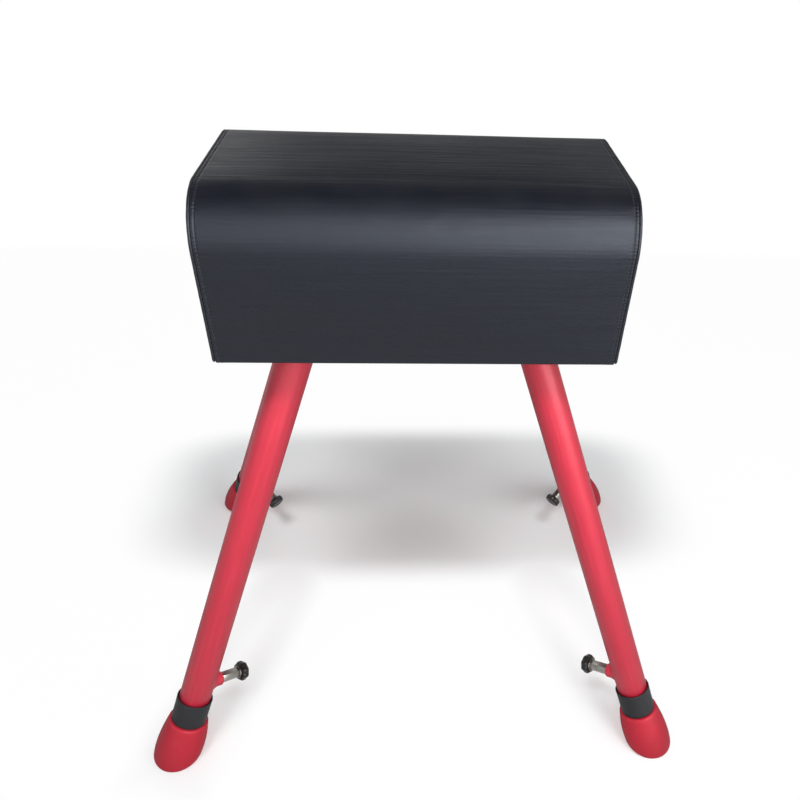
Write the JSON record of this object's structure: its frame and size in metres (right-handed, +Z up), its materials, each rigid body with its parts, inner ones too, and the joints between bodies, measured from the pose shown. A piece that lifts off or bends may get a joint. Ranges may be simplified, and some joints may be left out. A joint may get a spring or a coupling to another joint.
{
  "type": "vaulting buck",
  "caption": "Vaulting buck with a leather-covered padded head on splayed telescopic tube legs, each with a clamp screw and a flared foot.",
  "frame": {"origin": "on the floor, below the middle of the head", "axes": "+X along the head's length towards its right end, +Y away from the front side that the picture shows, +Z up"},
  "size_m": [1.011, 0.7848, 1.016],
  "materials": {
    "leather_black": "satin",
    "welt_black": "satin",
    "foam_cream": "matte",
    "plywood": "matte",
    "paint_red": "gloss",
    "foot_red": "satin",
    "steel": "brushed",
    "zinc_steel": "zinc plated",
    "brass": "turned",
    "nylon": "matte",
    "rubber_black": "matte",
    "knob_black": "gloss"
  },
  "bodies": {
    "stand": {"leather_cover": "leather_black", "left_end_panel": "leather_black", "right_end_panel": "leather_black", "left_welt": "welt_black", "right_welt": "welt_black", "foam_padding": "foam_cream", "left_end_foam": "foam_cream", "right_end_foam": "foam_cream", "core_top_board": "plywood", "core_front_board": "plywood", "core_rear_board": "plywood", "core_left_board": "plywood", "core_right_board": "plywood", "base_board": "plywood", "left_stud_bar": "zinc_steel", "right_stud_bar": "zinc_steel", "front_left_outer_tube": "paint_red", "front_left_flange_plate": "paint_red", "front_left_guide_bush": "nylon", "front_left_clamp_boss": "paint_red", "front_right_outer_tube": "paint_red", "front_right_flange_plate": "paint_red", "front_right_guide_bush": "nylon", "front_right_clamp_boss": "paint_red", "rear_left_outer_tube": "paint_red", "rear_left_flange_plate": "paint_red", "rear_left_guide_bush": "nylon", "rear_left_clamp_boss": "paint_red", "rear_right_outer_tube": "paint_red", "rear_right_flange_plate": "paint_red", "rear_right_guide_bush": "nylon", "rear_right_clamp_boss": "paint_red"},
    "front_left_lower_leg": {"front_left_inner_tube": "zinc_steel", "front_left_guide_plug": "nylon", "front_left_collar": "rubber_black", "front_left_foot": "foot_red"},
    "front_left_pad": {"front_left_clamp_pad": "brass"},
    "front_left_screw": {"front_left_clamp_screw": "steel", "front_left_clamp_knob": "knob_black"},
    "front_right_lower_leg": {"front_right_inner_tube": "zinc_steel", "front_right_guide_plug": "nylon", "front_right_collar": "rubber_black", "front_right_foot": "foot_red"},
    "front_right_pad": {"front_right_clamp_pad": "brass"},
    "front_right_screw": {"front_right_clamp_screw": "steel", "front_right_clamp_knob": "knob_black"},
    "rear_left_lower_leg": {"rear_left_inner_tube": "zinc_steel", "rear_left_guide_plug": "nylon", "rear_left_collar": "rubber_black", "rear_left_foot": "foot_red"},
    "rear_left_pad": {"rear_left_clamp_pad": "brass"},
    "rear_left_screw": {"rear_left_clamp_screw": "steel", "rear_left_clamp_knob": "knob_black"},
    "rear_right_lower_leg": {"rear_right_inner_tube": "zinc_steel", "rear_right_guide_plug": "nylon", "rear_right_collar": "rubber_black", "rear_right_foot": "foot_red"},
    "rear_right_pad": {"rear_right_clamp_pad": "brass"},
    "rear_right_screw": {"rear_right_clamp_screw": "steel", "rear_right_clamp_knob": "knob_black"}
  },
  "joints": [
    {"name": "front_left_extension", "type": "slide", "parent": "stand", "child": "front_left_lower_leg", "axis": [-0.3265, -0.3045, -0.8948], "range_m": [0, 0.45]},
    {"name": "front_left_clamp_travel", "type": "slide", "parent": "stand", "child": "front_left_pad", "axis": [0.6545, 0.6102, -0.4465], "range_m": [0, 0.006]},
    {"name": "front_left_clamp_turn", "type": "hinge", "parent": "front_left_pad", "child": "front_left_screw", "pos_m": [-0.40775, -0.29829, 0.14317], "axis": [0.6545, 0.6102, -0.4465], "range_deg": [0, 1080]},
    {"name": "front_right_extension", "type": "slide", "parent": "stand", "child": "front_right_lower_leg", "axis": [0.3265, -0.3045, -0.8948], "range_m": [0, 0.45]},
    {"name": "front_right_clamp_travel", "type": "slide", "parent": "stand", "child": "front_right_pad", "axis": [-0.6545, 0.6102, -0.4465], "range_m": [0, 0.006]},
    {"name": "front_right_clamp_turn", "type": "hinge", "parent": "front_right_pad", "child": "front_right_screw", "pos_m": [0.40775, -0.29829, 0.14317], "axis": [-0.6545, 0.6102, -0.4465], "range_deg": [0, 1080]},
    {"name": "rear_left_extension", "type": "slide", "parent": "stand", "child": "rear_left_lower_leg", "axis": [-0.3265, 0.3045, -0.8948], "range_m": [0, 0.45]},
    {"name": "rear_left_clamp_travel", "type": "slide", "parent": "stand", "child": "rear_left_pad", "axis": [0.6545, -0.6102, -0.4465], "range_m": [0, 0.006]},
    {"name": "rear_left_clamp_turn", "type": "hinge", "parent": "rear_left_pad", "child": "rear_left_screw", "pos_m": [-0.40775, 0.29829, 0.14317], "axis": [0.6545, -0.6102, -0.4465], "range_deg": [0, 1080]},
    {"name": "rear_right_extension", "type": "slide", "parent": "stand", "child": "rear_right_lower_leg", "axis": [0.3265, 0.3045, -0.8948], "range_m": [0, 0.45]},
    {"name": "rear_right_clamp_travel", "type": "slide", "parent": "stand", "child": "rear_right_pad", "axis": [-0.6545, -0.6102, -0.4465], "range_m": [0, 0.006]},
    {"name": "rear_right_clamp_turn", "type": "hinge", "parent": "rear_right_pad", "child": "rear_right_screw", "pos_m": [0.40775, 0.29829, 0.14317], "axis": [-0.6545, -0.6102, -0.4465], "range_deg": [0, 1080]}
  ],
  "couplings": [
    {"joint": "front_left_clamp_turn", "follows": "front_left_clamp_travel", "rad_per_m": 3141.6},
    {"joint": "front_right_clamp_turn", "follows": "front_right_clamp_travel", "rad_per_m": 3141.6},
    {"joint": "rear_left_clamp_turn", "follows": "rear_left_clamp_travel", "rad_per_m": 3141.6},
    {"joint": "rear_right_clamp_turn", "follows": "rear_right_clamp_travel", "rad_per_m": 3141.6}
  ]
}
